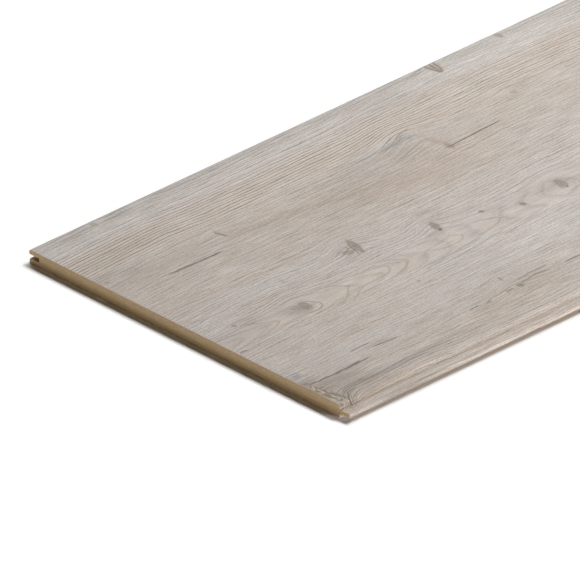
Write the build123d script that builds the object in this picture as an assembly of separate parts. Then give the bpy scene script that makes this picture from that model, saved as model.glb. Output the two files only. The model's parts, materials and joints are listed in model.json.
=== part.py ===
"""MDF wall panel: one board with a tongue along one long side and a groove along the other.

Millimetres. The panel lies on its back: X runs across it towards the tongue, Y along it, Z up to the face.
The origin is the middle of the panel's box, on the back.
"""

import os

from build123d import *

# The board
panel_length = 2600.0
face_width = 250.0
thickness = 8.0

# The tongue and the groove, both centred on one level above the back
joint_level = 3.9
tongue_length = 7.8
tongue_thickness = 2.4
joint_clearance = 0.1
joint_end_gap = 0.2

# The eased edges
face_edge_radius = 1.0
back_setback = 0.3
tongue_tip_radius = 0.4
groove_mouth_bevel = 0.35
back_edge_bevel = 0.5

# The groove takes the next panel's tongue with the clearance on each side and the gap at its bottom
groove_height = tongue_thickness + 2 * joint_clearance
groove_depth = tongue_length + joint_end_gap

# Lines of the section, across the panel
overall_width = face_width + tongue_length
groove_edge = -overall_width / 2
tongue_root = groove_edge + face_width
tongue_tip = tongue_root + tongue_length
groove_bottom = groove_edge + groove_depth

# Lines of the section, up from the back
tongue_under = joint_level - tongue_thickness / 2
tongue_top = joint_level + tongue_thickness / 2
groove_floor = joint_level - groove_height / 2
groove_roof = joint_level + groove_height / 2

# Corners of the section that get eased
face_corners = [(groove_edge, thickness), (tongue_root, thickness)]
tongue_corners = [(tongue_tip, tongue_under), (tongue_tip, tongue_top)]
mouth_corners = [(groove_edge + back_setback, groove_floor), (groove_edge, groove_roof)]
back_corners = [(groove_edge + back_setback, 0), (tongue_root - back_setback, 0)]


def vertices_at(section, corners):
    """The section's vertices that lie at these corners."""
    return [section.vertices().sort_by_distance(corner)[0] for corner in corners]


def panel_section():
    """The outline that a moulder cuts, from the groove's upper lip round over the tongue."""
    with BuildSketch(Plane.XZ) as section:
        with BuildLine():
            Polyline(
                (groove_edge, groove_roof),
                (groove_edge, thickness),
                (tongue_root, thickness),
                (tongue_root, tongue_top),
                (tongue_tip, tongue_top),
                (tongue_tip, tongue_under),
                (tongue_root - back_setback, tongue_under),
                (tongue_root - back_setback, 0),
                (groove_edge + back_setback, 0),
                (groove_edge + back_setback, groove_floor),
                (groove_bottom, groove_floor),
                (groove_bottom, groove_roof),
                close=True,
            )
        make_face()
        fillet(vertices_at(section.sketch_local, face_corners), face_edge_radius)
        fillet(vertices_at(section.sketch_local, tongue_corners), tongue_tip_radius)
        chamfer(vertices_at(section.sketch_local, mouth_corners), groove_mouth_bevel)
        chamfer(vertices_at(section.sketch_local, back_corners), back_edge_bevel)
    return section.sketch


def wall_panel():
    """The section run along the panel, sawn square at both ends."""
    return extrude(panel_section(), amount=panel_length / 2, both=True)


os.makedirs("parts", exist_ok=True)
export_step(wall_panel(), "parts/wall_panel.step")
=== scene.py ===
"""Looks of the wall panel: an MDF board in a printed decor of grey pine, on a white studio floor.

Places on the print are millimetres: along from the near sawn end, across from the groove edge of the face.
"""

import json
import math
import random
from collections import namedtuple

import bmesh
import bpy
import numpy as np
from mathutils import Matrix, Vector


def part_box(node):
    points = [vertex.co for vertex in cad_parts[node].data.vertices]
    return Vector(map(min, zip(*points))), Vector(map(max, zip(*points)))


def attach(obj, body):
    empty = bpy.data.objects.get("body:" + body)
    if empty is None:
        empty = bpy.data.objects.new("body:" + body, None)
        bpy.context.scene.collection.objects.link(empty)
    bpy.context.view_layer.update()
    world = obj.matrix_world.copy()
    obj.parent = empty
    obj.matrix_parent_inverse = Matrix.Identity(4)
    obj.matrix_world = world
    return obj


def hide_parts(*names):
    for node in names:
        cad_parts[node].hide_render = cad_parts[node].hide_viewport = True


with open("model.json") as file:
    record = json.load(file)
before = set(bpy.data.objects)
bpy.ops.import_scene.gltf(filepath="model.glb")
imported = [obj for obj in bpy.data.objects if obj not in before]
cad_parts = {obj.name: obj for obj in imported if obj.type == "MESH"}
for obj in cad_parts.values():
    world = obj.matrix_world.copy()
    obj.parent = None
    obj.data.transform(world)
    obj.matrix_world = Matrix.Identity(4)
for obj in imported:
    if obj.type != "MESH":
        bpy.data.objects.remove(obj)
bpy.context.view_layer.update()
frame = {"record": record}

# Where the board lies, from the frame
MM = 0.001
low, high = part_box("wall_panel")
mounts = {mount["name"]: mount for mount in frame["record"]["mounts"]}
groove_edge = low.x
tongue_tip = high.x
near_end = low.y
far_end = high.y
back = low.z
face = high.z
panel_length = far_end - near_end
thickness = face - back
print_length = panel_length / MM
joint_level = mounts["tongue"]["pos_m"][2]

# The tongue, the groove and the eased edges
tongue_length = 7.8 * MM
tongue_thickness = 2.4 * MM
joint_clearance = 0.1 * MM
joint_end_gap = 0.2 * MM
face_edge_radius = 1.0 * MM
back_setback = 0.3 * MM
tongue_tip_radius = 0.4 * MM
groove_mouth_bevel = 0.35 * MM
back_edge_bevel = 0.5 * MM

tongue_root = tongue_tip - tongue_length
groove_bottom = groove_edge + tongue_length + joint_end_gap
tongue_under = joint_level - tongue_thickness / 2
tongue_top = joint_level + tongue_thickness / 2
groove_floor = tongue_under - joint_clearance
groove_roof = tongue_top + joint_clearance
back_groove_edge = groove_edge + back_setback
back_tongue_edge = tongue_root - back_setback

# How finely the mesh carries the print: close in the stretch that the main view shows,
# and closest at the corner knot
corner_stretch = 24 * MM
corner_across = 204 * MM
corner_step = 1 * MM
fine_stretch = 440 * MM
fine_step = 2 * MM
coarse_step = 16 * MM
face_edge_segments = 6
tongue_tip_segments = 4
plain_cuts = 7
sharp_angle = math.radians(30)

# Pieces of the print, in millimetres and degrees
Knot = namedtuple("Knot", "along across half_length half_width slant dark warm arch part reach")
Stroke = namedtuple("Stroke", "half_width dark points")
Patch = namedtuple("Patch", "along across half_length half_width slope shade warm ribs")

KNOTS = [
    Knot(46, 4, 2.6, 1.7, 70, 0.6, 0.5, 1.0, 0.8, 7),
    Knot(313, 4, 8.8, 3.5, 92, 0.46, 0.9, 2.0, 2.0, 14),
    Knot(366, 3.5, 3.4, 2.0, 80, 0.5, 0.4, 1.0, 1.0, 8),
    Knot(242, 52, 5.0, 1.7, 160, 0.0, 0.0, 8.0, 0.0, 17),
    Knot(254.4, 78, 3.4, 2.0, 86, 0.95, 1.0, 2.0, 1.0, 10),
    Knot(252.2, 68.4, 7.0, 2.4, 76, 0.34, 1.0, 0.0, 1.0, 8),
    Knot(89.5, 61.5, 4.2, 0.9, 84, 0.4, 0.7, 1.0, 1.0, 8),
    Knot(4.5, 58, 2.2, 1.6, 60, 0.35, 0.6, 0.5, 0.8, 6),
    Knot(325, 57.5, 2.6, 2.0, 30, 0.3, 0.5, 0.5, 0.8, 6),
    Knot(133.8, 124, 8.2, 2.4, 101, 0.95, 0.3, 5.5, 2.0, 14),
    Knot(126, 127, 3.6, 2.6, 20, 0.72, 0.25, 0.0, 1.0, 7),
    Knot(182.3, 139.6, 5.8, 2.4, 104, 0.9, 0.3, 4.6, 1.5, 11),
    Knot(65.0, 154.2, 4.6, 2.9, 100, 1.0, 0.25, 0.0, 4.0, 14),
    Knot(58.3, 152.5, 1.7, 1.3, 60, 0.7, 0.25, 0.0, 0.0, 4),
    Knot(268.2, 153.4, 5.2, 3.0, 95, 0.78, 0.2, 0.0, 4.5, 16),
    Knot(236, 155, 2.1, 1.5, 60, 1.0, 0.3, 0.0, 1.2, 6),
    Knot(213, 145, 1.7, 1.2, 60, 1.0, 0.3, 0.0, 0.8, 4),
    Knot(21, 143.3, 1.6, 1.2, 40, 0.85, 0.3, 0.0, 0.8, 4),
    Knot(131.3, 178.2, 1.0, 0.8, 40, 0.7, 0.3, 0.0, 0.4, 3),
    Knot(145.5, 172.2, 0.9, 0.8, 40, 0.5, 0.3, 0.0, 0.4, 3),
    Knot(40, 104.5, 2.0, 0.8, 80, 0.3, 0.3, 0.0, 0.4, 4),
    Knot(76, 124.5, 3.4, 1.6, 80, 0.25, 0.2, 0.0, 1.0, 6),
    Knot(168.8, 221, 2.3, 1.7, 60, 0.95, 0.3, 3.0, 2.0, 14),
    Knot(142.4, 222.6, 2.4, 0.9, 165, 0.8, 0.4, 0.0, 0.8, 6),
]

# Cracks, hooks and outlines, each from place to place
STROKES = [
    Stroke(0.70, 0.97, [(33, 75.2), (46, 75.6), (60, 76.3), (78, 76.7)]),
    Stroke(0.52, 0.88, [(246, 77.9), (256, 78.0), (266, 77.5), (280, 76.6), (298, 76.2)]),
    Stroke(0.50, 0.80, [(1, 168), (4, 167.9), (7, 168.1)]),
    Stroke(0.62, 1.00, [(-2, 221), (4, 220.8), (9.2, 221), (10.5, 222), (13, 221.6), (18, 221.6),
                        (25, 222.5), (28.5, 221.8), (32, 222.2), (40, 221.8), (52, 221.6)]),
    Stroke(0.95, 1.00, [(21, 222.4), (28.5, 221.9), (32, 222.1), (38, 221.6), (45, 221.2)]),
    Stroke(1.30, 0.36, [(20, 222.6), (30, 222.2), (42, 221.6)]),
    Stroke(0.50, 0.80, [(45, 209.9), (53, 209.4), (62, 209.6)]),
    Stroke(0.50, 0.85, [(58, 214.2), (68, 215.3), (79, 215.8)]),
    Stroke(0.55, 0.62, [(166, 205.4), (165.7, 208), (165.5, 211)]),
    Stroke(0.52, 0.72, [(157, 221.4), (160, 221.1), (163.5, 220.9)]),
    Stroke(0.50, 0.58, [(168.4, 220.6), (174.5, 219), (183, 218.1), (194, 219.4)]),
    Stroke(0.52, 0.80, [(204, 219.5), (212, 219.6), (222, 219.5)]),
    Stroke(0.50, 0.60, [(170, 215.8), (183, 214.6), (198, 214.4)]),
    Stroke(0.50, 0.66, [(127, 222.5), (131, 222), (136, 221.5)]),
    Stroke(0.75, 0.56, [(87.8, 56.4), (88.5, 60), (89.6, 63.6), (91.6, 66.4)]),
    Stroke(0.45, 0.50, [(236, 53.0), (239.5, 49.6), (243, 48.2), (247, 47.6), (252, 46.6)]),
    Stroke(0.60, 0.75, [(309.2, -3), (309.6, 4), (311.8, 12)]),
    Stroke(0.60, 0.55, [(317.0, -3), (315.2, 6), (312.8, 13)]),
    Stroke(0.55, 0.65, [(313.2, -1), (312.6, 6), (312.2, 13.4)]),
    Stroke(0.55, 0.50, [(134.4, 116.4), (131.6, 122), (130.4, 128.4), (128.4, 134)]),
    Stroke(0.50, 0.36, [(136.4, 117), (135.4, 123), (133.6, 130), (132, 134)]),
    Stroke(0.60, 0.42, [(51, 156), (55, 155), (62, 155.6)]),
    Stroke(0.60, 0.30, [(53, 158.4), (58, 157.8), (63, 158.4)]),
    Stroke(0.60, 0.60, [(268.4, 156.4), (268.9, 158.8)]),
    Stroke(0.90, 0.75, [(182.2, 142), (181.2, 145.4)]),
    Stroke(0.50, 0.50, [(66.4, 149.6), (68.5, 153), (68.1, 157), (66, 159.6)]),
    Stroke(0.40, 0.40, [(270, 152.2), (277, 152.0)]),
]

# Soft brown outlines of the pointed figure, tip by tip
LOOPS = [
    Stroke(0.69, 0.33, [(20, 144), (26, 146), (31, 150), (35, 152.5), (40, 154.5), (43.5, 156.5),
                        (42, 157.8), (39, 159.5), (33, 161), (28, 162.5), (18, 165)]),
    Stroke(0.61, 0.47, [(58, 160), (60, 161), (63, 162.5), (69, 162.8), (73, 161), (74.5, 158),
                        (72.5, 154.4), (70, 151.6), (66, 149)]),
    Stroke(0.76, 0.33, [(76, 145.4), (86, 146.3), (91.5, 147.7), (94.5, 150.5), (98, 153.5), (99.6, 155),
                        (96.5, 157), (93.5, 160), (90, 163.5), (85, 166), (76, 167)]),
    Stroke(0.61, 0.34, [(82, 170), (89, 169), (94, 166.5), (100, 163), (106, 160.8), (117, 160.4),
                        (125, 160), (129, 157.4), (131.5, 154), (128, 151.4), (118, 150.6)]),
    Stroke(0.72, 0.34, [(124, 146), (132, 147.5), (136.5, 149), (140, 152), (142.5, 154.5), (143.5, 157),
                        (140, 160), (134, 162.5), (128, 164.5), (118, 165.6), (104, 166.6)]),
    Stroke(0.69, 0.25, [(157, 156), (166, 155), (174, 154), (180, 152.7), (184, 154.5), (186.5, 157),
                        (183, 160.5), (178, 161.5), (172, 161.8), (166, 160), (158, 157)]),
    Stroke(0.61, 0.34, [(150, 170), (162, 169), (172, 168), (182, 166.6), (194, 165)]),
    Stroke(0.69, 0.34, [(196, 150), (206, 152), (213, 155), (216, 157.6), (211, 161), (202, 163),
                        (190, 164)]),
    Stroke(0.53, 0.34, [(262, 161), (268, 163), (275, 161.4), (278.6, 157), (276, 151), (270, 147.4)]),
    Stroke(0.69, 0.34, [(214, 55.5), (226, 55.3), (236, 54.8), (240, 52), (245, 49.4)]),
]

# The corner knot's own strokes: its dark twists, the grain that sweeps round it, and pale spots, which are
# negative; then lines on the tongue, with a painted shade line in the crease at the riser's foot
CORNER_STROKES = [
    Stroke(1.30, 0.34, [(0.6, 216.5), (1.2, 221), (0.9, 226), (1.1, 231), (1.4, 237), (1.6, 243)]),
    Stroke(1.10, 0.50, [(0.4, 220.4), (2.4, 219.4), (4.8, 219.2)]),
    Stroke(0.45, 0.85, [(4.6, 221.6), (3.2, 223), (2, 224.2)]),
    Stroke(0.50, 0.80, [(5.4, 224.4), (3.8, 226.4), (2.4, 228.4), (1.6, 230.6)]),
    Stroke(0.90, 0.55, [(4.4, 229), (6.4, 227.4), (8.8, 228.8)]),
    Stroke(0.70, 0.55, [(4.9, 229.8), (5.2, 232.4), (4.6, 235.4)]),
    Stroke(1.05, 0.95, [(2.4, 234), (3.3, 236.4), (3.4, 238.6)]),
    Stroke(0.55, 0.85, [(3.2, 237.6), (2.9, 239.8), (3.4, 241.2), (5, 243)]),
    Stroke(0.85, 0.75, [(5.4, 235.6), (6.4, 237.8), (6.6, 239.8)]),
    Stroke(0.50, 0.65, [(6.5, 239), (7.2, 241.4), (8.2, 243)]),
    Stroke(0.45, 0.95, [(6.5, 244), (5.2, 245.4), (4, 246.8)]),
    Stroke(0.80, 0.70, [(8.3, 242), (8.1, 244.6), (7.5, 246.8)]),
    Stroke(0.60, 0.55, [(34, 237), (24, 237.2), (17, 237.6), (13.4, 238.6), (10.6, 240.6), (8.4, 242.8)]),
    Stroke(0.50, 0.85, [(22, 240.4), (18, 241.2), (15, 241.6), (12.8, 242.6), (10.8, 244.8), (9, 247.2),
                        (8, 250), (9, 252.6), (8, 254.6)]),
    Stroke(0.45, 0.50, [(13.6, 244.4), (11.4, 246.8), (10.2, 249.6), (11, 252.6), (9.4, 257)]),
    Stroke(0.45, 0.40, [(25, 243.4), (20.6, 244.3), (16.4, 245.6), (13.4, 248), (12.6, 251), (13, 255)]),
    Stroke(1.00, 0.60, [(0.4, 248), (1.8, 249.6), (3, 250.6)]),
    Stroke(0.45, 0.40, [(16, 249.6), (24, 248.4), (34, 247.6)]),
    Stroke(0.80, 0.45, [(5, 255.4), (7, 254.6), (8.6, 254.4)]),
    # painted shade: a dark line in the crease at the riser's foot, along the tongue
    Stroke(0.45, 0.26, [(16, 253.2), (26, 253), (40, 253.1), (64, 253.2)]),
    Stroke(0.90, -0.55, [(1.7, 225.8), (1.9, 228.2)]),
    Stroke(0.90, -0.45, [(3.4, 230.4), (3.3, 233.4)]),
    Stroke(0.75, -0.40, [(4.9, 236.4), (4.8, 240.6)]),
    Stroke(0.90, -0.40, [(1.9, 240.4), (2.2, 244.2)]),
    Stroke(1.00, -0.35, [(2.8, 246.8), (4.6, 248.6)]),
    Stroke(0.90, -0.55, [(2.6, 250.8), (4, 251.2)]),
    Stroke(0.90, -0.35, [(6.8, 232.2), (6.6, 235.2)]),
    Stroke(0.90, -0.35, [(7, 248), (7.8, 250.2)]),
    Stroke(0.50, 0.40, [(24, 258.4), (48, 258.2), (80, 258.6), (120, 258.2)]),
    Stroke(0.60, -0.35, [(20, 256.6), (50, 256.8), (84, 256.4)]),
]

# Soft patches: darker where the shade is positive, then warmer, then with stronger grain lines
PATCHES = [
    Patch(150, 5, 170, 2.5, 0, 0.05, 0, 0),
    Patch(350, 15, 70, 10, 0, -0.10, -0.35, -0.3),
    Patch(20, 37, 50, 11, 0, 0.10, 0.2, 0.1),
    Patch(25, 66, 45, 10, 0, 0.08, 0, 0),
    Patch(12, 54, 22, 7, 0, 0.14, 0, 0),
    Patch(220, 55, 24, 2.6, -0.03, 0.10, -0.3, 0),
    Patch(243, 62, 22, 9, 0, 0, 0, -0.5),
    Patch(207, 66, 42, 12, 0, 0.11, 0, 0),
    Patch(262, 16, 22, 8, 0, 0.09, 0, 0),
    Patch(140, 74, 70, 6, 0.16, 0.08, 0.25, -0.2),
    Patch(215, 91, 45, 9, 0.05, 0.06, 0.35, -0.2),
    Patch(103, 69.8, 14, 1.8, 0.13, 0.07, 0, 0),
    Patch(236, 53.6, 12, 3.4, -0.1, 0.09, -1.1, 0),
    Patch(127, 127, 7, 7, 0, 0.14, 0, 0),
    Patch(143, 121.5, 5, 2.2, 0, 0.12, 0, 0),
    Patch(137, 133.4, 6, 2.6, 0, 0.12, 0, 0),
    Patch(176, 146, 6, 4.5, 0, 0.15, 0, 0),
    Patch(146, 154.3, 2.6, 2.6, 0, 0.10, 1.2, 0),
    Patch(154, 155, 7, 1.8, 0, 0.08, 0, 0),
    Patch(174, 157, 10, 2.6, 0, -0.08, 0.3, 0),
    Patch(118, 156, 10, 3, 0, -0.05, 0.3, 0),
    Patch(92, 161.5, 6, 1.6, -0.6, -0.10, 0.3, 0),
    Patch(38, 158.5, 6, 1.4, -0.4, -0.06, 0.3, 0),
    Patch(138, 159, 5, 1.4, -0.6, -0.08, 0.3, 0),
    Patch(243, 50.5, 4.5, 2.2, -0.5, 0.06, -1.0, 0),
    Patch(57, 154.5, 9, 6, 0, 0.20, 0, 0.2),
    Patch(62, 141, 26, 7, 0, 0.05, 0, 0.3),
    Patch(4.4, 236, 4.6, 11, 0.1, 0.08, 1.0, 0),
    Patch(0, 231, 2.6, 15, 0, 0.12, 1.0, 0),
    Patch(46, 239, 34, 2.2, 0, 0.09, 0, 0),
    Patch(101, 242.7, 18, 1.8, 0, 0.09, 0.1, 0),
    Patch(18, 225, 10, 2.4, 0, 0.15, 0.1, 0),
    Patch(72, 155, 3.5, 5, 0, -0.10, 0, -0.3),
    Patch(14, 158, 24, 13, 0, 0.08, 0, 0),
    Patch(38, 149, 46, 4.5, 0, 0.09, 0, 0),
    Patch(235, 149, 40, 5, 0, 0.06, 0, 0),
    Patch(160, 90, 25, 8, 0, 0.06, 0, 0),
    Patch(262, 152, 10, 7, 0, 0.12, 0, 0),
    Patch(6.4, 208.8, 3.2, 2.2, -0.3, 0.27, -0.8, 0),
    Patch(3.2, 210, 5, 8, 0, 0.15, -0.2, 0),
    Patch(4, 213.6, 4, 1.6, 0, -0.08, -0.6, 0),
    Patch(2.5, 219, 2.6, 1.8, 0, 0.2, 0, 0),
    Patch(4, 240, 12, 24, 0, 0.12, 0.3, 0.2),
    Patch(20, 229, 18, 7, 0, 0.22, 0.25, -0.3),
    Patch(26, 246, 24, 5.5, 0, 0.15, 0.5, 0),
    Patch(5, 217.5, 7, 3, 0, 0.20, 0.3, 0),
    Patch(9.6, 237, 3, 3.2, 0, -0.15, 0.1, 0),
    Patch(58, 239.4, 26, 2.6, 0, 0.10, 0, 0),
    # painted shade: darkens the tongue tip from about 20 to 70 mm along, past its painted lightening
    Patch(46, 262.5, 26, 5.5, 0, 0.38, 0.1, 0),
    Patch(350, 32, 90, 16, 0, 0, 0, -0.2),
    Patch(180, 11, 220, 5, 0, -0.05, 0, 0),
    Patch(262, 165, 25, 6, 0, -0.06, 0, 0),
    Patch(60, 203, 20, 12, 0, -0.04, 0, 0),
    # painted light on the tongue's top at the riser's foot, near the end
    Patch(30, 254.2, 40, 1.6, 0, -0.10, 0, 0),
    Patch(60, 238, 60, 3.2, 0, 0.16, 0, 0.4),
    Patch(25, 238, 25, 4.5, 0, 0.12, 0, 0.3),
    Patch(75, 231, 60, 2.4, 0, -0.06, 0, 0),
    Patch(178, 221, 40, 7, 0.05, 0.10, 0.25, 0),
    Patch(150, 231, 35, 8, 0, 0.05, 0.3, 0),
    Patch(250, 190, 70, 30, 0, -0.04, -0.1, 0),
    Patch(115, 172, 30, 14, 0, -0.055, 0, 0),
    Patch(215, 182, 25, 10, 0, -0.11, -0.1, 0),
    Patch(320, 96, 40, 14, 0, -0.06, -0.25, 0),
    Patch(112, 196, 30, 10, 0, -0.06, 0, 0),
    Patch(212, 210, 25, 7, 0, -0.06, 0, 0),
    Patch(62, 104, 25, 8, 0, -0.06, 0, 0),
    Patch(160, 121, 12, 5, 0, -0.07, 0, 0),
    Patch(50, 175, 90, 38, 0, 0, 0.15, 0),
]

# How knots part the grain, and how far off a knot or a stroke still counts, in its own sizes or millimetres
knot_parting = 1.6
knot_search = 6
knot_margin = 8
clear_of_knots = 9.0
stroke_search = 7.0
nowhere_near = 99.0

# Strokes lie in layers: the room between two of a layer and the fade off their middle, in mesh steps
stroke_layer_count = 8
stroke_samples = 24
stroke_room = 4.6
stroke_fade_share = 0.75
stroke_fade_end = 2.9

# What draws the print past the main view, how far round the board it goes, and the step for its slopes
print_seed = 11
print_girth = 270
slope_step = 0.4

# Slow bands that run the whole length: darkening, warmth and strength of the grain lines, by place across
# Past 250 across, the riser, the tongue's top and its tip are painted lighter: painted light on the step's
# faces
BAND_PLACES = [-4, 2, 5, 8, 14, 22, 28, 46, 52, 74, 82, 108, 116, 148, 158, 168, 206, 218, 236, 249, 250.4,
               252.6, 253.6, 259.4, 260.4, 264]
BAND_SHADE_AND_PAINTED_LIGHT = [0.02, 0.0, 0.05, 0.0, -0.03, 0.0, 0.03, 0.03, 0.0, 0.03, 0.03, 0.03, 0.0, 0.0, -0.01, 0.0,
              0.0, 0.02, 0.02, 0.02, -0.08, -0.08, -0.04, -0.06, -0.22, -0.22]
BAND_WARMTH = [0.14, 0.14, 0.14, 0.14, 0.16, 0.36, 0.6, 0.6, 0.52, 0.54, 0.56, 0.52, 0.33, 0.3, 0.4, 0.28,
               0.3, 0.42, 0.48, 0.55, 0.55, 0.55, 0.55, 0.55, 0.55, 0.55]
BAND_RIBS = [0.13, 0.13, 0.13, 0.15, 0.25, 0.66, 0.84, 0.8, 0.2, 0.14, 0.14, 0.2, 0.32, 0.36, 0.3, 0.3,
             0.13, 0.12, 0.24, 0.36, 0.3, 0.3, 0.3, 0.4, 0.2, 0.2]
most_ribs = 1.3

# Further along, the bands sway from side to side
band_sway = 7
band_sway_length = 310
band_sway_phase = 0.4
band_sway_from = 300
band_sway_growth = 400

# Painted light: the print is painted darker towards the near end, for light that falls off there;
# further along, the print's own tone wavers
PAINTED_FALLOFF_AND_TONE_PLACES = [0, 360, 700, 1200, 1900, 2600]
PAINTED_FALLOFF_AND_TONE_LEVELS = [0.755, 1.02, 0.945, 0.99, 0.915, 0.97]

# The pointed figure down the middle: where its tips lie and how far apart the rings are on each side of it
FIGURE_PLACES = [-60, 41, 95, 142, 184, 216, 262, 330, 400, 470, 560]
FIGURE_RINGS = [-2.4, -0.06, 0.94, 1.94, 2.94, 3.94, 5.2, 3.94, 2.94, 1.94, 0.5]
SPINE_PLACES = [0, 66, 100, 145, 185, 220, 268, 330, 420]
SPINE_ACROSS = [158, 155, 158, 158.5, 158, 158, 155, 153, 156]
figure_reach = 18
spine_rings = 2
RING_DISTANCE_ABOVE = [0, 6, 9, 12, 18, 45, 50, 80, 105, 110, 137, 139, 165]
RING_PITCH_ABOVE = [44, 36, 9, 4.0, 2.5, 2.5, 3.8, 4.2, 4.2, 2.5, 2.5, 4.2, 4.4]
RING_DISTANCE_BELOW = [0, 5, 8, 11, 18, 35, 60, 75, 90, 110]
RING_PITCH_BELOW = [44, 34, 8, 3.6, 2.5, 2.5, 3.2, 3.0, 2.8, 2.6]
ring_margin = 60
ring_samples = 900
least_ring_rate = 0.02
most_ring_rate = 0.8

# Past the main view the figure goes on: its rings come and go, and its spine sways
least_rings = -0.5
most_rings = 5
spine_middle = 156
spine_sway = 14
figure_margin = 100

# The gnarled knot that the near corner was sawn through
gnarl_along = 3.6
gnarl_across = 235
gnarl_half_along = 4.4
gnarl_half_across = 17
gnarl_slant = 12
gnarl_sweep = -13
gnarl_sweep_reach = 11
gnarl_sweep_aside = 16


# The board's mesh

def corner_at(bm, x, z):
    """The section's vertex nearest to a corner of the square outline."""
    return min(bm.verts, key=lambda vert: math.hypot(vert.co.x - x, vert.co.z - z))


def ease(bm, corners, size, segments=1):
    """Rounds corners of the section, or bevels them where there is one segment."""
    bmesh.ops.bevel(
        bm,
        geom=[corner_at(bm, x, z) for x, z in corners],
        offset=size,
        offset_type="OFFSET",
        affect="VERTICES",
        segments=segments,
        profile=0.5,
        material=-1,
    )


def split_edge(bm, start, end, cuts):
    """Divides the edge of the section that lies on the line between two corners."""
    middle = (Vector((start[0], near_end, start[1])) + Vector((end[0], near_end, end[1]))) / 2
    edge = min(bm.edges, key=lambda e: ((e.verts[0].co + e.verts[1].co) / 2 - middle).length)
    bmesh.ops.subdivide_edges(bm, edges=[edge], cuts=cuts)


def split_face(bm):
    """Divides the face's edge of the section, closer together at the corner knot."""
    def lies_on(edge, side):
        first, last = (vert.co for vert in edge.verts)
        on_face = min(first.z, last.z) > face - MM / 10
        return on_face and side * ((first.x + last.x) / 2 - groove_edge - corner_across) > 0

    edge = max(bm.edges, key=lambda e: min(vert.co.z for vert in e.verts) + e.calc_length())
    start = min(edge.verts, key=lambda vert: vert.co.x)
    reach = corner_across - (start.co.x - groove_edge)
    bmesh.utils.edge_split(edge, start, reach / edge.calc_length())
    for side, step in ((-1, fine_step), (1, corner_step)):
        part = max((e for e in bm.edges if lies_on(e, side)), key=lambda e: e.calc_length())
        bmesh.ops.subdivide_edges(bm, edges=[part], cuts=round(part.calc_length() / step) - 1)


def panel_section(bm):
    """The section at the near end, from the groove's upper lip over the face and round the tongue."""
    outline = [
        (groove_edge, groove_roof),
        (groove_edge, face),
        (tongue_root, face),
        (tongue_root, tongue_top),
        (tongue_tip, tongue_top),
        (tongue_tip, tongue_under),
        (back_tongue_edge, tongue_under),
        (back_tongue_edge, back),
        (back_groove_edge, back),
        (back_groove_edge, groove_floor),
        (groove_bottom, groove_floor),
        (groove_bottom, groove_roof),
    ]
    bm.faces.new([bm.verts.new((x, near_end, z)) for x, z in outline])
    ease(bm, [(groove_edge, face), (tongue_root, face)], face_edge_radius, face_edge_segments)
    ease(bm, [(tongue_tip, tongue_top), (tongue_tip, tongue_under)], tongue_tip_radius, tongue_tip_segments)
    ease(bm, [(groove_edge, groove_roof), (back_groove_edge, groove_floor)], groove_mouth_bevel)
    ease(bm, [(back_groove_edge, back), (back_tongue_edge, back)], back_edge_bevel)
    split_face(bm)
    split_edge(bm, (tongue_root, tongue_top), (tongue_tip, tongue_top), plain_cuts)
    split_edge(bm, (back_groove_edge, back), (back_tongue_edge, back), plain_cuts)


def measure_girth(bm):
    """Writes on each vertex of the section its way round in millimetres, from the face's groove edge."""
    girth = bm.verts.layers.float.new("girth")
    bm.faces.ensure_lookup_table()
    loops = list(bm.faces[0].loops)
    upper_lip = Vector((groove_edge, near_end, groove_roof + groove_mouth_bevel))
    start = min(range(len(loops)), key=lambda i: (loops[i].vert.co - upper_lip).length)
    ring = [loop.vert for loop in loops[start:] + loops[:start]]
    if ring[1].co.z < ring[0].co.z:
        ring = ring[:1] + ring[:0:-1]
    way = -(face - ring[0].co.z) / MM
    ring[0][girth] = way
    for before, vert in zip(ring, ring[1:]):
        way += (vert.co - before.co).length / MM
        vert[girth] = way


def draw_out(bm):
    """Draws the section along the whole board and cuts it where the steps of the print change."""
    drawn = bmesh.ops.extrude_face_region(bm, geom=bm.faces[:], use_keep_orig=True)
    far_verts = [item for item in drawn["geom"] if isinstance(item, bmesh.types.BMVert)]
    bmesh.ops.translate(bm, verts=far_verts, vec=(0, panel_length, 0))
    for stretch in (corner_stretch, fine_stretch):
        everything = bm.verts[:] + bm.edges[:] + bm.faces[:]
        bmesh.ops.bisect_plane(bm, geom=everything, plane_co=(0, near_end + stretch, 0), plane_no=(0, 1, 0))


def divide_along(bm, start, end, step):
    """Divides the board between two places along it into steps."""
    def lies_in(edge):
        first, last = sorted(vert.co.y for vert in edge.verts)
        return last - first > 2 * step and first > start - step / 2 and last < end + step / 2

    cuts = round((end - start) / step) - 1
    bmesh.ops.subdivide_edges(bm, edges=[e for e in bm.edges if lies_in(e)], cuts=cuts, use_grid_fill=True)


def panel_mesh():
    """The board as one closed mesh, finely divided where the print needs it."""
    bm = bmesh.new()
    panel_section(bm)
    measure_girth(bm)
    draw_out(bm)
    stops = [near_end, near_end + corner_stretch, near_end + fine_stretch, far_end]
    for start, end, step in zip(stops, stops[1:], (corner_step, fine_step, coarse_step)):
        divide_along(bm, start, end, step)
    bmesh.ops.triangulate(bm, faces=[f for f in bm.faces if len(f.verts) > 4])
    bmesh.ops.recalc_face_normals(bm, faces=bm.faces)
    mesh = bpy.data.meshes.new("panel_board")
    bm.to_mesh(mesh)
    bm.free()
    return mesh


# The print's figure

def soft(distance):
    """A bell that is 1 at no distance and nearly nothing past 2."""
    return np.exp(-distance * distance)


def far_places(rng, start, end, least_step, most_step):
    """Places along the stretch that lies outside the main view, a random step apart."""
    along = start
    while along < end:
        yield along
        along += rng.uniform(least_step, most_step)


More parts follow.
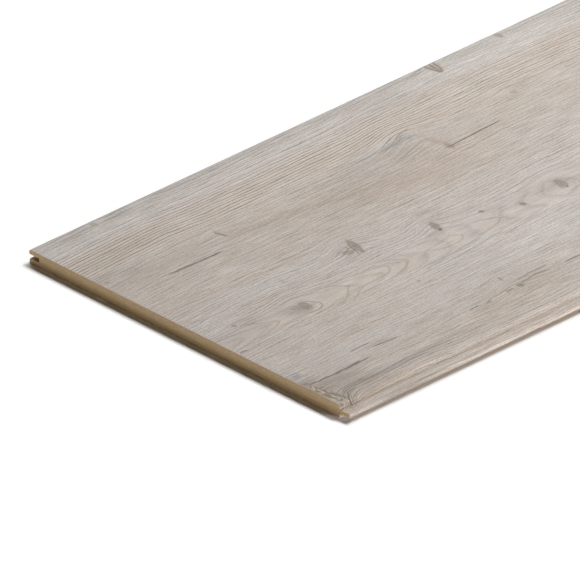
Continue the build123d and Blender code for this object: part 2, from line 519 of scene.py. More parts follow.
def far_knots(rng):
    """Knots on the stretch that lies outside the main view, spread as on the near one."""
    knots = []
    for along in far_places(rng, start=450, end=print_length - 40, least_step=12, most_step=42):
        size = rng.uniform(1.2, 5.5)
        slender = rng.uniform(0.35, 0.85)
        knots.append(Knot(
            along=along,
            across=rng.uniform(6, 244),
            half_length=size,
            half_width=size * slender,
            slant=rng.uniform(60, 125),
            dark=rng.uniform(0.4, 0.85),
            warm=rng.uniform(0.1, 0.9),
            arch=rng.uniform(0, 0.7) * size,
            part=0.6 * size,
            reach=3.2 * size,
        ))
    return knots


def far_strokes(rng):
    """Fine drying cracks on the stretch that lies outside the main view."""
    strokes = []
    for along in far_places(rng, start=470, end=print_length - 60, least_step=30, most_step=110):
        across = rng.uniform(10, 245)
        half_length = rng.uniform(8, 30)
        points = []
        for share in (-1, -0.3, 0.4, 1):
            points.append((along + half_length * share, across + rng.uniform(-0.6, 0.6)))
        strokes.append(Stroke(rng.uniform(0.4, 0.6), rng.uniform(0.45, 0.8), points))
    return strokes


def far_patches(rng):
    """Darker and lighter streaks on the stretch that lies outside the main view."""
    patches = []
    for along in far_places(rng, start=430, end=print_length + 40, least_step=8, most_step=26):
        patches.append(Patch(
            along=along,
            across=rng.uniform(0, 255),
            half_length=rng.uniform(25, 110),
            half_width=rng.uniform(2.5, 11),
            slope=rng.uniform(-0.05, 0.05),
            shade=rng.uniform(-0.07, 0.13),
            warm=rng.uniform(-0.3, 0.35),
            ribs=rng.uniform(-0.2, 0.3),
        ))
    return patches


def bent_across(along, across, knots):
    """The place across that a grain line would have without the knots, which lift it and push it apart."""
    bent = across.copy()
    for knot in knots:
        near = np.abs(along - knot.along) < 3 * knot.reach
        ahead = (along[near] - knot.along) / knot.reach
        aside = (across[near] - knot.across) / knot.reach
        bell = soft(ahead) * soft(aside)
        bent[near] += knot.arch * bell - knot_parting * knot.part * aside * bell
    return bent


def gnarl_place(along, across):
    """The way from the middle of the corner knot, down its length and off it, in its own half sizes."""
    turn = math.radians(gnarl_slant)
    ahead, aside = along - gnarl_along, across - gnarl_across
    down = (aside * math.cos(turn) + ahead * math.sin(turn)) / gnarl_half_across
    off = (ahead * math.cos(turn) - aside * math.sin(turn)) / gnarl_half_along
    return down, off


def gnarl_bend(along, across):
    """The grain's sweep round the corner knot, towards the tongue."""
    ahead = along / gnarl_sweep_reach
    aside = (across - gnarl_across - gnarl_sweep_aside) / gnarl_sweep_reach
    return gnarl_sweep * soft(ahead) * soft(aside)


def ring_steps(distances, pitches):
    """Distances from the spine with the count of rings up to each."""
    places = np.linspace(0, distances[-1] + ring_margin, ring_samples)
    pitch = np.interp(places, distances, pitches)
    counts = np.concatenate([[0], np.cumsum(np.diff(places) / ((pitch[1:] + pitch[:-1]) / 2))])
    return places, counts


def figure_wander(rng):
    """Tips and spine of the pointed figure over the whole length: the near ones, then more of their kind."""
    places, rings = list(FIGURE_PLACES), list(FIGURE_RINGS)
    spine_places, spine_across = list(SPINE_PLACES), list(SPINE_ACROSS)
    rising = True
    while places[-1] < print_length + figure_margin:
        step = rng.uniform(38, 75)
        places.append(places[-1] + step)
        rings.append(rings[-1] + (1 if rising else -1))
        if rings[-1] > most_rings or rings[-1] < least_rings:
            rising = not rising
    while spine_places[-1] < print_length + figure_margin:
        spine_places.append(spine_places[-1] + rng.uniform(90, 160))
        spine_across.append(spine_middle + rng.uniform(-spine_sway, spine_sway))
    return places, rings, spine_places, spine_across


def ring_count(along, across, figure):
    """Growth rings counted outward from the spine of the pointed figure."""
    places, rings, spine_places, spine_across = figure
    away = across - np.interp(along, spine_places, spine_across)
    distance = np.abs(away)
    above = np.interp(distance, *ring_steps(RING_DISTANCE_ABOVE, RING_PITCH_ABOVE))
    below = np.interp(distance, *ring_steps(RING_DISTANCE_BELOW, RING_PITCH_BELOW))
    tips = np.interp(along, places, rings) - spine_rings
    return np.where(away < 0, above, below) + tips * soft(distance / figure_reach)


def grain_field(along, across, knots, figure):
    """The place across, freed of bends, and the ring count at each place."""
    bent = bent_across(along, across, knots) + gnarl_bend(along, across)
    return bent, ring_count(along, bent, figure)


def nearest_knot(along, across, knots):
    """For each place, its way from the nearest knot in that knot's own radii, and that knot's look."""
    local = np.full((len(along), 3), clear_of_knots)
    look = np.zeros((len(along), 3))
    for knot in knots:
        near = np.abs(along - knot.along) < knot_search * knot.half_length + knot_margin
        ahead = along[near] - knot.along
        aside = across[near] - knot.across
        turn = math.radians(knot.slant)
        p = (ahead * math.cos(turn) + aside * math.sin(turn)) / knot.half_length
        q = (aside * math.cos(turn) - ahead * math.sin(turn)) / knot.half_width
        away = np.hypot(p, q)
        rows = np.flatnonzero(near)
        nearer = away < local[rows, 2]
        local[rows[nearer]] = np.stack([p, q, away], 1)[nearer]
        look[rows[nearer]] = (knot.dark, knot.warm, knot.along)
    return local, look


def way_from_stroke(along, across, points):
    """How far along a stroke the nearest point lies, 0 to 1, and how far off, with a sign for the side."""
    total = sum(math.dist(a, b) for a, b in zip(points, points[1:]))
    ahead, aside = np.zeros(len(along)), np.full(len(along), nowhere_near)
    gone = 0
    for start, end in zip(points, points[1:]):
        length = math.dist(start, end)
        run_along, run_across = (end[0] - start[0]) / length, (end[1] - start[1]) / length
        forward = (along - start[0]) * run_along + (across - start[1]) * run_across
        off = (across - start[1]) * run_along - (along - start[0]) * run_across
        away = np.hypot(np.maximum(np.maximum(-forward, forward - length), 0), off)
        nearer = away < np.abs(aside)
        ahead[nearer] = (gone + forward[nearer]) / total
        aside[nearer] = np.copysign(away, off)[nearer]
        gone += length
    return ahead, aside


def mesh_step(along, across):
    """How far apart the mesh's vertices lie at a place."""
    at_corner = along < corner_stretch / MM and across > corner_across / MM
    return (corner_step if at_corner else fine_step) / MM


def stroke_layers(strokes):
    """Shares the strokes out so that those of one layer keep clear of each other."""
    layers = [[] for _ in range(stroke_layer_count)]
    for stroke in strokes:
        pairs = zip(stroke.points, stroke.points[1:])
        spots = np.concatenate([np.linspace(a, b, stroke_samples) for a, b in pairs])
        room = stroke_room * mesh_step(*stroke.points[-1])
        clear = []
        for layer in layers:
            ways = [way_from_stroke(spots[:, 0], spots[:, 1], other.points)[1] for other in layer]
            clear.append(min((np.abs(way).min() for way in ways), default=nowhere_near))
        fits = [index for index, gap in enumerate(clear) if gap > room]
        layers[fits[0] if fits else clear.index(max(clear))].append(stroke)
    return layers


def nearest_stroke(along, across, strokes):
    """For each place: its way along the nearest stroke, its way off in half widths, and how dark it is."""
    local = np.zeros((len(along), 3))
    best = np.full(len(along), stroke_search)
    for stroke in strokes:
        starts = np.min(stroke.points, 0) - stroke_search
        ends = np.max(stroke.points, 0) + stroke_search
        near = (along > starts[0]) & (along < ends[0]) & (across > starts[1]) & (across < ends[1])
        rows = np.flatnonzero(near)
        ahead, aside = way_from_stroke(along[rows], across[rows], stroke.points)
        nearer = np.abs(aside) < best[rows]
        best[rows[nearer]] = np.abs(aside[nearer])
        shares = np.abs(aside) / mesh_step(*stroke.points[-1]) / stroke_fade_share
        dark = stroke.dark * np.clip(stroke_fade_end - shares, 0, 1)
        local[rows[nearer]] = np.stack([ahead, aside / stroke.half_width, dark], 1)[nearer]
    return local


def tone(along, across, patches):
    """Lightness, warmth and strength of the grain lines at each place; the lightness holds painted light on
    the tongue and a painted falloff towards the near end.
    """
    growth = np.clip((along - band_sway_from) / band_sway_growth, 0, 1)
    swayed = across + band_sway * np.sin(along / band_sway_length + band_sway_phase) * growth
    shade = np.interp(swayed, BAND_PLACES, BAND_SHADE_AND_PAINTED_LIGHT)
    warm = np.interp(swayed, BAND_PLACES, BAND_WARMTH)
    ribs = np.interp(swayed, BAND_PLACES, BAND_RIBS)
    for patch in patches:
        ahead = along - patch.along
        aside = across - patch.across - patch.slope * ahead
        weight = np.exp(-(ahead / patch.half_length) ** 4) * soft(aside / patch.half_width)
        shade += patch.shade * weight
        warm += patch.warm * weight
        ribs += patch.ribs * weight
    # painted falloff towards the near end, then the print's own wavering tone
    light = np.interp(along, PAINTED_FALLOFF_AND_TONE_PLACES, PAINTED_FALLOFF_AND_TONE_LEVELS)
    return np.stack([(1 - shade) * light, np.clip(warm, 0, 1), np.clip(ribs, 0, most_ribs)], 1)


def put_vectors(mesh, name, *columns):
    """Keeps three numbers a vertex on the mesh, for a material to read."""
    attribute = mesh.attributes.new(name, "FLOAT_VECTOR", "POINT")
    attribute.data.foreach_set("vector", np.stack(columns, 1).astype(np.float32).ravel())


def lay_print(mesh):
    """Works out the print at each vertex from the knots, strokes, patches and the pointed figure."""
    count = len(mesh.vertices)
    places = np.zeros(count * 3)
    mesh.vertices.foreach_get("co", places)
    girth = np.zeros(count)
    mesh.attributes["girth"].data.foreach_get("value", girth)
    along = (places.reshape(-1, 3)[:, 1] - near_end) / MM
    across = np.minimum(girth, print_girth)
    rng = random.Random(print_seed)
    knots = KNOTS + far_knots(rng)
    strokes = STROKES + LOOPS + CORNER_STROKES + far_strokes(rng)
    patches = PATCHES + far_patches(rng)
    figure = figure_wander(rng)

    bent, ring = grain_field(along, across, knots, figure)
    rise_along = (grain_field(along + slope_step, across, knots, figure)[1] - ring) / slope_step
    rise_across = (grain_field(along, across + slope_step, knots, figure)[1] - ring) / slope_step
    rate = np.clip(np.hypot(rise_along, rise_across), least_ring_rate, most_ring_rate)
    put_vectors(mesh, "grain", along, bent, ring)
    put_vectors(mesh, "tone", *tone(along, across, patches).T)
    put_vectors(mesh, "ring_rate", rate, *gnarl_place(along, across))
    local, look = nearest_knot(along, across, knots)
    put_vectors(mesh, "knot", *local.T)
    put_vectors(mesh, "knot_look", *look.T)
    for index, layer in enumerate(stroke_layers(strokes)):
        put_vectors(mesh, f"stroke_{index}", *nearest_stroke(along, across, layer).T)


# Finishes

GREY_PINE = (0.485, 0.443, 0.408, 1)
WARM_PINE = (0.495, 0.410, 0.338, 1)
DARK_GNARL = (0.13, 0.094, 0.055, 1)
PALE_GNARL = (0.345, 0.275, 0.195, 1)
GNARL_RIM = (0.20, 0.165, 0.13, 1)
GREY_KNOT = (0.150, 0.130, 0.110, 1)
RED_KNOT = (0.290, 0.190, 0.108, 1)
KNOT_HALO = (0.25, 0.205, 0.165, 1)
PALE_SPOT = (0.50, 0.425, 0.345, 1)
FAINT_MARK = (0.190, 0.150, 0.110, 1)
DEEP_MARK = (0.100, 0.077, 0.057, 1)
SAWN_TAN = (0.63, 0.455, 0.266, 1)
SAWN_PALE = (0.745, 0.548, 0.325, 1)
SAWN_FLAKE = (0.49, 0.340, 0.186, 1)
SAWN_SKIN = (0.50, 0.36, 0.21, 1)
SAWN_PAINTED_SHADE = (0.65, 0.428, 0.200, 1)
CUT_BROWN = (0.40, 0.280, 0.165, 1)
CUT_PALE = (0.48, 0.340, 0.205, 1)
CUT_MARK = (0.33, 0.225, 0.13, 1)
BACK_TAN = (0.50, 0.385, 0.25, 1)
BACK_PALE = (0.57, 0.445, 0.30, 1)
BACK_FLECK = (0.42, 0.315, 0.195, 1)
BACK_CLOUD = (0.60, 0.48, 0.335, 1)


class Bench:
    """Short calls that wire up one material."""

    def __init__(self, name):
        self.material = bpy.data.materials.new(name)
        self.material.use_nodes = True
        self.tree = self.material.node_tree
        self.shader = self.tree.nodes["Principled BSDF"]
        self.attributes = {}

    def put(self, socket, value):
        """Feeds a socket from another one, or sets it."""
        if isinstance(value, bpy.types.NodeSocket):
            self.tree.links.new(value, socket)
        else:
            socket.default_value = value

    def node(self, kind, **inputs):
        """A node with inputs fed or set by their names, with _ for a space."""
        node = self.tree.nodes.new(kind)
        for name, value in inputs.items():
            self.put(node.inputs[name.replace("_", " ")], value)
        return node

    def attribute(self, name):
        """The three numbers kept on the mesh under a name."""
        if name not in self.attributes:
            node = self.tree.nodes.new("ShaderNodeAttribute")
            node.attribute_name = name
            self.attributes[name] = self.apart(node.outputs["Vector"])
        return self.attributes[name]

    def place(self):
        """The place on the board, in metres."""
        return self.node("ShaderNodeTexCoord").outputs["Object"]

    def apart(self, vector):
        """The three numbers of a vector."""
        return tuple(self.node("ShaderNodeSeparateXYZ", Vector=vector).outputs)

    def together(self, x, y, z):
        """A vector from three numbers."""
        return self.node("ShaderNodeCombineXYZ", X=x, Y=y, Z=z).outputs[0]

    def math(self, operation, *values):
        """A Math node over one to three values."""
        node = self.tree.nodes.new("ShaderNodeMath")
        node.operation = operation
        for socket, value in zip(node.inputs, values):
            self.put(socket, value)
        return node.outputs[0]

    def plus(self, first, second):
        return self.math("ADD", first, second)

    def minus(self, first, second):
        return self.math("SUBTRACT", first, second)

    def times(self, first, second):
        return self.math("MULTIPLY", first, second)

    def over(self, first, second):
        return self.math("DIVIDE", first, second)

    def times_plus(self, value, factor, base):
        """The value times the factor, on top of the base."""
        return self.math("MULTIPLY_ADD", value, factor, base)

    def sine(self, value):
        return self.math("SINE", value)

    def way(self, first, second):
        """How long a way is whose two legs are square to each other."""
        return self.math("SQRT", self.plus(self.times(first, first), self.times(second, second)))

    def ramp(self, value, start, end, first=0.0, last=1.0):
        """A smooth step from the first number to the last while the value goes from start to end."""
        node = self.node("ShaderNodeMapRange", Value=value, From_Min=start, From_Max=end)
        self.put(node.inputs["To Min"], first)
        self.put(node.inputs["To Max"], last)
        node.interpolation_type = "SMOOTHSTEP"
        return node.outputs[0]

    def fall(self, value, start, end):
        """A smooth step from one down to nothing while the value goes from start to end."""
        return self.ramp(value, start, end, 1.0, 0.0)

    def cloud(self, vector, detail=2.0, roughness=0.5):
        """Noise about one half."""
        node = self.node("ShaderNodeTexNoise", Vector=vector, Scale=1.0, Detail=detail, Roughness=roughness)
        return node.outputs[0]

    def board_cloud(self, scale, detail=2.0):
        """Noise about one half that is fixed to the board, with its scale each way a metre."""
        spread = self.node("ShaderNodeMapping", Vector=self.place(), Scale=scale).outputs[0]
        return self.cloud(spread, detail)

    def mix(self, share, first, second, blend="MIX"):
        """Two colours mixed or blended."""
        node = self.tree.nodes.new("ShaderNodeMix")
        node.data_type = "RGBA"
        node.blend_type = blend
        self.put(node.inputs["Factor"], share)
        self.put(node.inputs[6], first)
        self.put(node.inputs[7], second)
        return node.outputs[2]

    def bump(self, height, strength, distance):
        """Feeds the shader's normal from a height."""
        node = self.node("ShaderNodeBump", Strength=strength, Distance=distance, Height=height)
        self.put(self.shader.inputs["Normal"], node.outputs[0])

    def finish(self, colour, roughness, gloss):
        """Feeds the shader its colour and roughness, sets its gloss and hands over the material."""
        self.put(self.shader.inputs["Base Color"], colour)
        self.put(self.shader.inputs["Roughness"], roughness)
        self.shader.inputs["Specular IOR Level"].default_value = gloss
        return self.material


def grain_cloud(b, per_along, per_across, seed, detail=2.0, roughness=0.5):
    """Noise about nothing that follows the grain, with its scale along and across a millimetre."""
    along, across, _ = b.attribute("grain")
    spread = b.together(b.times(along, per_along), b.times(across, per_across), seed)
    return b.minus(b.cloud(spread, detail, roughness), 0.5)


def ring_turns(b):
    """The ring count, with the lines swaying, shivering and lying unevenly apart."""
    ring = b.attribute("grain")[2]
    ribs = b.attribute("tone")[2]
    rate = b.attribute("ring_rate")[0]
    sway = b.times(grain_cloud(b, 0.022, 0.06, 80.0), b.ramp(ribs, 0.4, 0.8, 5.0, 3.4))
    shiver = b.times(grain_cloud(b, 0.12, 0.3, 120.0), b.ramp(ribs, 0.4, 0.8, 1.8, 0.7))
    turns = b.times_plus(b.plus(sway, shiver), rate, ring)
    uneven = b.plus(b.sine(b.times(turns, 2.33)), b.sine(b.times(turns, 1.47)))
    return b.times_plus(uneven, b.ramp(ribs, 0.4, 1.0, 0.11, 0.04), turns)


def ring_lines(b, turns):
    """The rings' dark lines and painted highlights beside them, as on the lit side of an embossed groove.

    The lines keep their width in millimetres where the rings lie close, and spread where they lie far apart.
    """
    along = b.attribute("grain")[0]
    ribs = b.attribute("tone")[2]
    rate = b.attribute("ring_rate")[0]
    part = b.math("FRACT", turns)
    number = b.math("FLOOR", turns)
    spread = b.plus(0.24, b.over(0.05, rate))
    before = b.over(b.over(b.minus(1.0, part), rate), spread)
    after = b.over(b.over(part, rate), spread)
    line = b.math("MAXIMUM", b.fall(before, 0.2, 1.6), b.fall(after, 0.0, 0.6))
    broken = b.cloud(b.together(b.times(along, 0.07), b.times(number, 3.7), 7.0))
    line = b.times(line, b.ramp(broken, 0.3, 0.6, b.ramp(ribs, 0.4, 0.8, 0.5, 0.84), 1.0))
    line = b.times(line, b.ramp(rate, 0.05, 0.25, 0.2, 1.0))
    # painted highlight beside each line
    rim = b.times(b.ramp(before, 1.4, 2.0), b.fall(before, 2.0, 4.0))
    return line, rim


def grained_pine(b, turns, line, rim, fibre):
    """Grey to warm pine, darkened by its ring lines, fibres, grit and streaks, with painted highlights
    beside the ring lines.
    """
    across = b.attribute("grain")[1]
    light, warm, ribs = b.attribute("tone")
    rate = b.attribute("ring_rate")[0]
    grit = grain_cloud(b, 0.6, 0.9, 60.0, roughness=0.6)
    streak = grain_cloud(b, 0.008, 0.22, 21.0, detail=3.0)
    mottle = grain_cloud(b, 0.035, 0.07, 40.0, detail=3.0)
    between_rings = b.math("FRACT", b.times(turns, 2.0))
    thin = b.minus(b.ramp(between_rings, 0.35, 0.85), b.ramp(between_rings, 0.85, 1.0))
    calm = b.ramp(rate, 0.03, 0.2, 0.65, 1.0)

    dark = b.times(b.times_plus(line, 1.05, -0.22), ribs)
    dark = b.times_plus(thin, b.ramp(across, 14.0, 22.0, 0.25, 0.16), dark)
    # painted highlights beside the ring lines
    dark = b.times_plus(rim, -0.06, dark)
    dark = b.times_plus(fibre, b.times(calm, 0.86), dark)
    dark = b.times_plus(grit, b.times(calm, 0.74), dark)
    dark = b.times_plus(streak, 0.18, dark)
    dark = b.times_plus(mottle, 0.16, dark)
    value = b.times(light, b.minus(0.973, dark))

    warmth = b.times_plus(streak, 0.9, warm)
    warmth = b.times_plus(mottle, 0.7, warmth)
    pine = b.mix(b.ramp(warmth, 0.0, 1.0), GREY_PINE, WARM_PINE)
    return b.mix(1.0, pine, b.together(value, value, value), "MULTIPLY")


def corner_knot(b, pine):
    """Lays on the knot at the sawn corner: pale and brown strands down its length inside a dark rim."""
    _, down, off = b.attribute("ring_rate")
    twist = b.cloud(b.together(b.times(down, 2.2), b.times(off, 1.5), 33.0))
    edge = b.times_plus(twist, 0.5, b.way(down, off))
    inside = b.fall(edge, 1.0, 1.35)
    rim = b.times(b.ramp(edge, 0.95, 1.2), b.fall(edge, 1.25, 1.55))
    strand = b.sine(b.times_plus(twist, 14.0, b.times(off, 5.5)))
    strands = b.mix(b.ramp(strand, -0.7, 0.9), DARK_GNARL, PALE_GNARL)
    pine = b.mix(b.times(inside, 0.8), pine, strands)
    return b.mix(b.times(rim, 0.2), pine, GNARL_RIM)


def printed_knots(b, pine):
    """Lays on the knots: a dark core with a darker, ragged rim, in a soft brown halo."""
    p, q, away = b.attribute("knot")
    dark, warm, seed = b.attribute("knot_look")
    ragged = b.cloud(b.together(b.times(p, 1.3), b.times(q, 1.3), seed), detail=3.0)
    edge = b.times_plus(b.minus(ragged, 0.5), 0.9, b.way(p, q))
    gate = b.fall(away, 2.4, 3.2)
    core = b.times(b.fall(edge, 0.72, 1.22), gate)
    halo = b.times(b.fall(edge, 0.9, 2.3), gate)
    grown = b.ramp(b.sine(b.times(edge, 9.0)), -1.0, 1.0, 0.72, 1.0)
    pine = b.mix(b.times(b.times(halo, dark), 0.2), pine, KNOT_HALO)
    return b.mix(b.times(b.times(core, dark), grown), pine, b.mix(warm, GREY_KNOT, RED_KNOT))


def printed_strokes(b, pine):
    """Lays on the cracks, hooks, outlines and pale spots, and tells how deep the dark ones are."""
    ragged = b.times(grain_cloud(b, 0.3, 0.5, 95.0), 1.8)
    gap, gleam = 0.0, 0.0
    for index in range(stroke_layer_count):
        ahead, aside, depth = b.attribute(f"stroke_{index}")
        taper = b.times(b.ramp(ahead, -0.02, 0.2), b.fall(ahead, 0.88, 1.02))
        off = b.math("ABSOLUTE", b.plus(ragged, aside))
        mark = b.times(b.times(b.fall(off, 0.6, 1.45), taper), depth)
        gap = b.math("MAXIMUM", gap, mark)
        gleam = b.math("MINIMUM", gleam, mark)
    pine = b.mix(b.times(gleam, -1.0), pine, PALE_SPOT)
    pine = b.mix(gap, pine, b.mix(b.ramp(gap, 0.3, 0.6), FAINT_MARK, DEEP_MARK))
    return pine, gap


def printed_pine():
    """The decor: grey pine with fine ribs, a pointed figure, knots and cracks, under a dull varnish."""
    b = Bench("printed_pine")
    fibre = grain_cloud(b, 0.055, 1.0, 3.0, roughness=0.6)
    turns = ring_turns(b)
    line, rim = ring_lines(b, turns)
    pine = grained_pine(b, turns, line, rim, fibre)
    pine = corner_knot(b, pine)
    pine = printed_knots(b, pine)
    pine, gap = printed_strokes(b, pine)
    height = b.plus(b.times(line, -0.5), b.times(gap, -1.0))
    height = b.times_plus(fibre, 0.4, height)
    b.bump(height, 0.25, 0.15 * MM)
    return b.finish(pine, b.ramp(fibre, -0.25, 0.25, 0.5, 0.64), gloss=0.3)


def sawn_mdf():
    """Sawn MDF: tan fibre, denser and browner towards the two skins, and painted deeper orange towards the
    bottom as painted shade.
    """
    b = Bench("sawn_mdf")
    level = b.apart(b.place())[2]
    fine = b.board_cloud((900, 900, 1500), detail=3.0)
    flake = b.board_cloud((260, 260, 700))
    off_middle = b.math("ABSOLUTE", b.minus(level, thickness / 2))
    skin = b.ramp(off_middle, 0.25 * thickness, 0.5 * thickness)
    tan = b.mix(b.ramp(fine, 0.3, 0.7), SAWN_TAN, SAWN_PALE)
    tan = b.mix(b.times(b.ramp(flake, 0.4, 0.7), 0.35), tan, SAWN_FLAKE)
    tan = b.mix(b.times(skin, 0.2), tan, SAWN_SKIN)
    # painted shade: deeper orange towards the bottom, the tint of the floor's shadow and its bounce
    tan = b.mix(b.ramp(level, 0.85 * thickness, 0.0, 0.0, 0.6), tan, SAWN_PAINTED_SHADE)
    b.bump(fine, 0.3, 0.1 * MM)
    return b.finish(tan, b.ramp(fine, 0.2, 0.8, 0.78, 0.92), gloss=0.2)


def moulded_mdf():
    """MDF under the cutter: the joint's bare sides, burnished darker, with fine marks along the board."""
    b = Bench("moulded_mdf")
    mark = b.board_cloud((1500, 14, 1500))
    fine = b.board_cloud((800, 800, 800), detail=3.0)
    brown = b.mix(b.ramp(fine, 0.3, 0.7), CUT_BROWN, CUT_PALE)
    brown = b.mix(b.times(b.ramp(mark, 0.4, 0.7), 0.4), brown, CUT_MARK)
    b.bump(mark, 0.2, 0.06 * MM)
    return b.finish(brown, b.ramp(fine, 0.2, 0.8, 0.62, 0.78), gloss=0.25)


def sanded_back():
    """The plain back: sanded MDF with faint sanding streaks along the board."""
    b = Bench("sanded_back")
    streak = b.board_cloud((700, 9, 50), detail=3.0)
    fine = b.board_cloud((500, 500, 500), detail=3.0)
    broad = b.board_cloud((9, 3, 9))
    tan = b.mix(b.ramp(streak, 0.3, 0.7), BACK_TAN, BACK_PALE)
    tan = b.mix(b.times(b.ramp(fine, 0.45, 0.75), 0.3), tan, BACK_FLECK)
    tan = b.mix(b.times(b.ramp(broad, 0.35, 0.7), 0.2), tan, BACK_CLOUD)
    b.bump(streak, 0.2, 0.08 * MM)
    return b.finish(tan, b.ramp(fine, 0.2, 0.8, 0.7, 0.85), gloss=0.25)


# Where each finish goes, told by how far a face's normal points along the board, or up

PRINT, SAWN, MOULDED, BACK = 0, 1, 2, 3
end_normal = 0.5
back_normal = -0.9
lip_normal = -0.1
tongue_normal = -0.8


def finish_of(centre, normal):
    """Which finish a face of the board has."""
    if abs(normal.y) > end_normal:
        return SAWN
    if normal.z < back_normal and centre.z < back + back_edge_bevel / 2:
        return BACK
    groove_side = centre.x < groove_bottom + MM
    lip_edge = groove_side and centre.z > groove_roof + groove_mouth_bevel and normal.z > lip_normal
    wrapped = not groove_side and centre.z > tongue_under and normal.z > tongue_normal
    return PRINT if lip_edge or wrapped else MOULDED


# The board laid out flat in a square: the print in strips, then back and groove, then both ends side by side
unrolled_strips = 3
unrolled_strip_height = 0.305
unrolled_girth = (-3.0, 264.0)
unrolled_print_along = (0.012, 0.988)
unrolled_print_across = (0.02, 0.98)
unrolled_rest_along = (0.01, 0.99)
unrolled_rest_across = (0.925, 0.982)
unrolled_rest_spare = 10
unrolled_end_across = (0.02, 0.48)
unrolled_end_up = (0.986, 0.998)
unrolled_far_end = 0.5


def between(limits, share):
    """The number at a share of the way from the first limit to the last."""
    first, last = limits
    return first + (last - first) * share


def unroll_for_baking(mesh):
    """Lays the board out flat for baking."""
    layer = mesh.uv_layers.new(name="OFBake")
    girth = mesh.attributes["girth"].data
    total_girth = max(item.value for item in girth)
    print_start, print_end = unrolled_girth
    rest_girth = total_girth - print_end + unrolled_rest_spare
    length = panel_length / unrolled_strips
    for polygon in mesh.polygons:
        kind = polygon.material_index
        strip = min(int((polygon.center.y - near_end) / length), unrolled_strips - 1)
        around = [girth[v].value for v in polygon.vertices]
        if max(around) - min(around) > total_girth / 2:
            around = [way + total_girth if way < total_girth / 2 else way for way in around]
        for loop, vertex, way in zip(polygon.loop_indices, polygon.vertices, around):
            place = mesh.vertices[vertex].co
            if kind == SAWN:
                u = between(unrolled_end_across, (place.x - groove_edge) / (tongue_tip - groove_edge))
                u += unrolled_far_end if place.y > 0 else 0
                v = between(unrolled_end_up, place.z / thickness)
            elif kind == PRINT:
                u = between(unrolled_print_along, (place.y - near_end - strip * length) / length)
                share = between(unrolled_print_across, (way - print_start) / (print_end - print_start))
                v = unrolled_strip_height * (strip + share)
            else:
                u = between(unrolled_rest_along, (place.y - near_end) / panel_length)
                v = between(unrolled_rest_across, (way - print_end) / rest_girth)
            layer.data[loop].uv = (u, v)


def panel_board():
    """The whole board, standing for the CAD panel."""
    mesh = panel_mesh()
    lay_print(mesh)
    for material in (printed_pine(), sawn_mdf(), moulded_mdf(), sanded_back()):
        mesh.materials.append(material)
    for polygon in mesh.polygons:
        polygon.material_index = finish_of(polygon.center, polygon.normal)
        polygon.use_smooth = True
    mesh.set_sharp_from_angle(angle=sharp_angle)
    unroll_for_baking(mesh)
    board = bpy.data.objects.new("panel_board", mesh)
    bpy.context.scene.collection.objects.link(board)
    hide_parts("wall_panel")
    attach(board, "root")


# The studio

floor_size = 40.0
floor_white = 0.95
floor_seen = 1.14
room_level = 0.003

# The lamp strip behind the far end: how far aside each stretch of it lies, for one up, and its level
strip_width = 25
strip_lean = 0.72
STRIP = [
    (-1.4, 0.040),
    (-0.9, 0.095),
    (-0.5, 0.172),
    (-0.15, 0.260),
    (0.05, 0.270),
    (0.3, 0.030),
]

# The low lamps: where they stand, their level and their width in degrees
front_from = (0.35, -1, 0.052)
front_level = 0.0050
front_width = 9
side_from = (1, 0.3, 0.14)
side_level = 0.124
side_width = 12

view_azimuth = math.radians(45.82)
view_elevation = math.radians(28.99)
view_distance = 15.34
view_end = 100
lens = 1700
sensor_width = 36
aim_along = 72.2
aim_across = 135.85


def camera_ray(tree):
    """1 where the camera, a gloss or a clear surface looks, and 0 for light on the object."""
    path = tree.nodes.new("ShaderNodeLightPath")
    seen = path.outputs["Is Camera Ray"]
    for name in ("Is Glossy Ray", "Is Transmission Ray"):
        either = tree.nodes.new("ShaderNodeMath")
        either.operation = "MAXIMUM"
        tree.links.new(seen, either.inputs[0])
        tree.links.new(path.outputs[name], either.inputs[1])
        seen = either.outputs[0]
    return seen


def white_paper():
    """The floor's paper, which the camera sees a little brighter than the light that it gives back."""
    paper = bpy.data.materials.new("white_paper")
    paper.use_nodes = True
    tree = paper.node_tree
    tree.nodes.remove(tree.nodes["Principled BSDF"])
    diffuse = tree.nodes.new("ShaderNodeBsdfDiffuse")
    colour = tree.nodes.new("ShaderNodeMix")
    colour.data_type = "RGBA"
    colour.inputs[6].default_value = (floor_white, floor_white, floor_white, 1)
    colour.inputs[7].default_value = (floor_seen, floor_seen, floor_seen, 1)
    tree.links.new(camera_ray(tree), colour.inputs["Factor"])
    tree.links.new(colour.outputs[2], diffuse.inputs["Color"])
    tree.links.new(diffuse.outputs[0], tree.nodes["Material Output"].inputs["Surface"])
    return paper


def studio_floor():
    """A white paper floor that takes the board's shadow."""
    bm = bmesh.new()
    bmesh.ops.create_grid(bm, x_segments=1, y_segments=1, size=floor_size / 2)
    mesh = bpy.data.meshes.new("studio_floor")
    bm.to_mesh(mesh)
    bm.free()
    mesh.materials.append(white_paper())
    floor = bpy.data.objects.new("studio_floor", mesh)
    bpy.context.scene.collection.objects.link(floor)


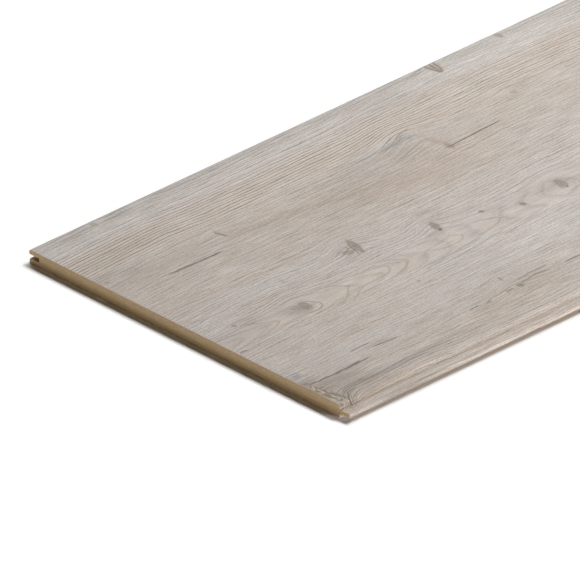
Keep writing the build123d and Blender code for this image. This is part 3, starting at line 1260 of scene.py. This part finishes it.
def lamp(name, direction, level, width):
    """A soft lamp far away in a direction, giving that share of full light on the level face."""
    direction = Vector(direction).normalized()
    sun = bpy.data.lights.new(name, "SUN")
    sun.energy = level * math.pi / direction.z
    sun.angle = math.radians(width)
    lamp_object = bpy.data.objects.new(name, sun)
    lamp_object.rotation_mode = "QUATERNION"
    lamp_object.rotation_quaternion = direction.to_track_quat("Z", "Y")
    bpy.context.scene.collection.objects.link(lamp_object)


def dim_room():
    """The room round the board: nearly dark, but white where the camera looks past the floor."""
    world = bpy.data.worlds.new("dim_room")
    world.use_nodes = True
    tree = world.node_tree
    room = tree.nodes["Background"]
    room.inputs["Color"].default_value = (1, 1, 1, 1)
    level = tree.nodes.new("ShaderNodeMapRange")
    level.inputs["To Min"].default_value = room_level
    level.inputs["To Max"].default_value = 1.0
    tree.links.new(camera_ray(tree), level.inputs["Value"])
    tree.links.new(level.outputs[0], room.inputs["Strength"])
    bpy.context.scene.world = world


def studio_light():
    """One long soft strip lamp behind the far end, and faint low lamps on the near end and the tongue."""
    for index, (aside, level) in enumerate(STRIP):
        direction = Vector((aside, strip_lean, 1))
        lamp(f"strip_{index}", direction, level, strip_width / direction.length)
    lamp("front", front_from, front_level, front_width)
    lamp("side", side_from, side_level, side_width)


def studio_camera():
    """A very long lens, because the board's long edges stay parallel."""
    camera = bpy.data.objects.new("camera", bpy.data.cameras.new("camera"))
    camera.data.lens = lens
    camera.data.sensor_width = sensor_width
    camera.data.clip_end = view_end
    aim = Vector((groove_edge + aim_across * MM, near_end + aim_along * MM, face))
    away = Vector((
        math.sin(view_azimuth) * math.cos(view_elevation),
        -math.cos(view_azimuth) * math.cos(view_elevation),
        math.sin(view_elevation),
    ))
    camera.location = aim + away * view_distance
    camera.rotation_mode = "QUATERNION"
    camera.rotation_quaternion = away.to_track_quat("Z", "Y")
    bpy.context.scene.collection.objects.link(camera)
    bpy.context.scene.camera = camera


panel_board()
studio_floor()
studio_light()
dim_room()
studio_camera()
bpy.context.scene.view_settings.view_transform = "Standard"
